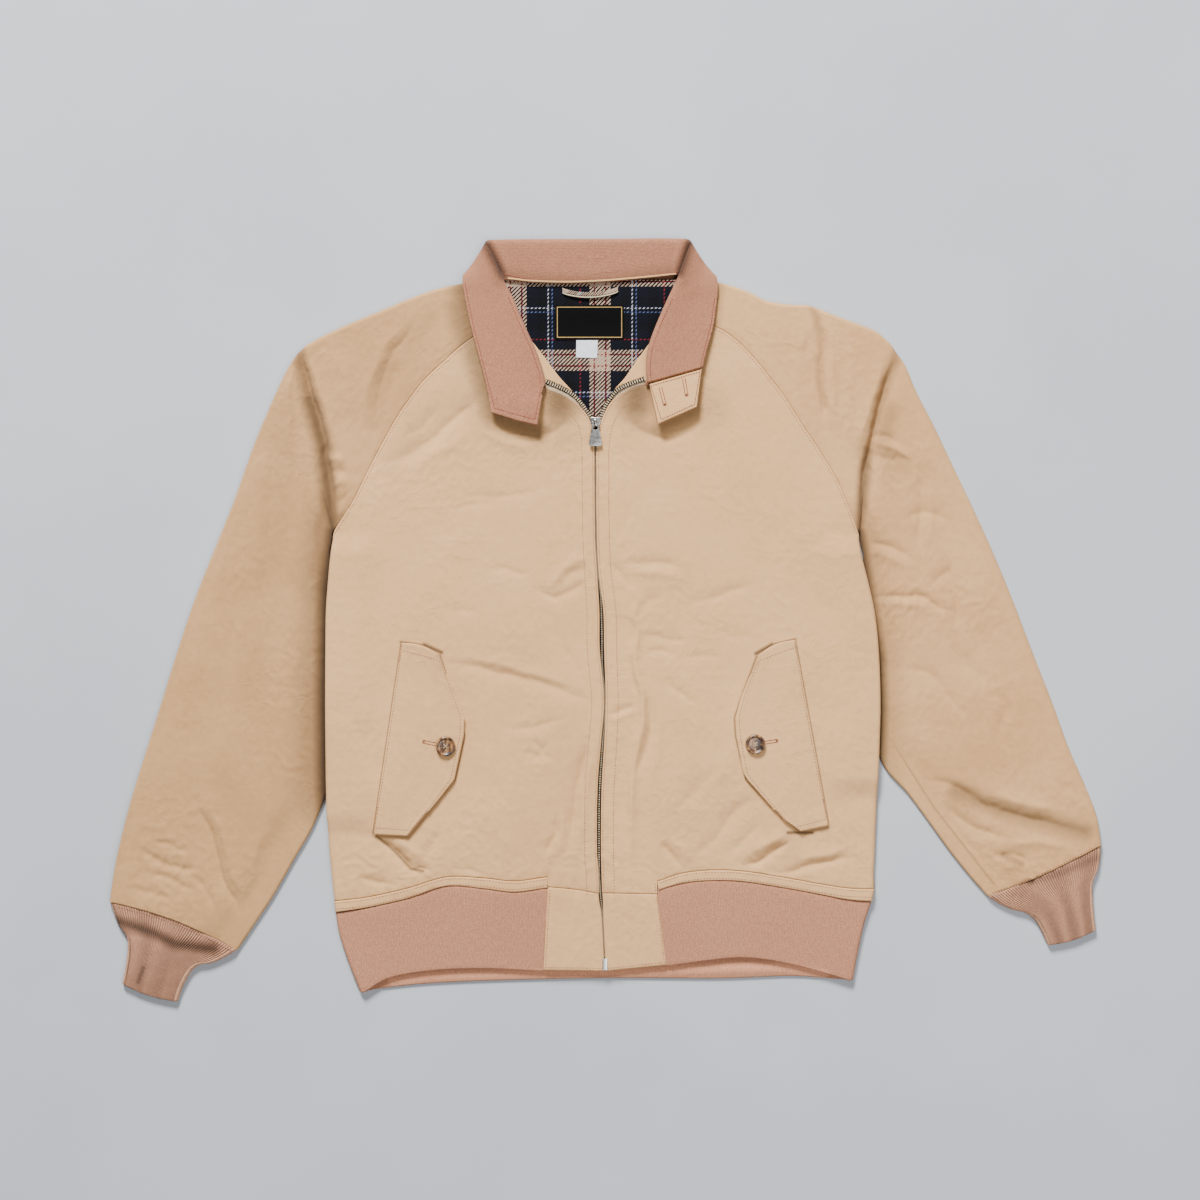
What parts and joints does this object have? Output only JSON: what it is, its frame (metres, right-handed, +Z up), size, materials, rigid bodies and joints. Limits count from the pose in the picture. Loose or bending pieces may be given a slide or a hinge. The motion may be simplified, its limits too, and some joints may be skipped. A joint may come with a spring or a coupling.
{
  "type": "harrington jacket",
  "caption": "Tan cotton harrington jacket laid flat, front up and zipped, with knit collar, cuffs and waist rib, buttoned slant pocket flaps and a plaid lining in the open throat.",
  "frame": {"origin": "On the flat underside that rests on the surface, at mid width and mid length of the laid jacket.", "axes": "X runs across the jacket to the wearer's left, Y from hem to collar, Z up from the surface to the front of the jacket."},
  "size_m": [0.9934, 0.7626, 0.0166],
  "materials": {
    "tan_cotton": "matt brushed cotton with a faint nap",
    "rib_knit": "soft ribbed knit",
    "plaid_lining": "woven plaid, soft brushed",
    "zip_tape": "fine woven tape",
    "horn": "polished horn",
    "nickel": "polished nickel",
    "black_label": "woven label",
    "white_label": "woven label"
  },
  "bodies": {
    "jacket": {"back_panel": "tan_cotton", "front_right": "tan_cotton", "front_left": "tan_cotton", "hem_welt_right": "tan_cotton", "hem_welt_left": "tan_cotton", "hem_block_right": "tan_cotton", "hem_block_left": "tan_cotton", "sleeve_right": "tan_cotton", "sleeve_left": "tan_cotton", "collar_tab": "tan_cotton", "neck_tape": "tan_cotton", "facing_right": "tan_cotton", "facing_left": "tan_cotton", "pocket_flap_right": "tan_cotton", "pocket_flap_left": "tan_cotton", "waist_rib": "rib_knit", "cuff_right": "rib_knit", "cuff_left": "rib_knit", "collar": "rib_knit", "lining": "plaid_lining", "hanger_loop": "plaid_lining", "zip_tape_right": "zip_tape", "zip_tape_left": "zip_tape", "button_right": "horn", "button_left": "horn", "zip_slider": "nickel", "zip_box": "nickel", "neck_label": "black_label", "size_label": "white_label"},
    "zip_pull": {"zip_pull": "nickel"}
  },
  "joints": [
    {"name": "pull_hinge", "type": "hinge", "parent": "jacket", "child": "zip_pull", "pos_m": [-0.0101, 0.1977, 0.0132], "axis": [-1, 0, 0], "range_deg": [0, 165]}
  ]
}
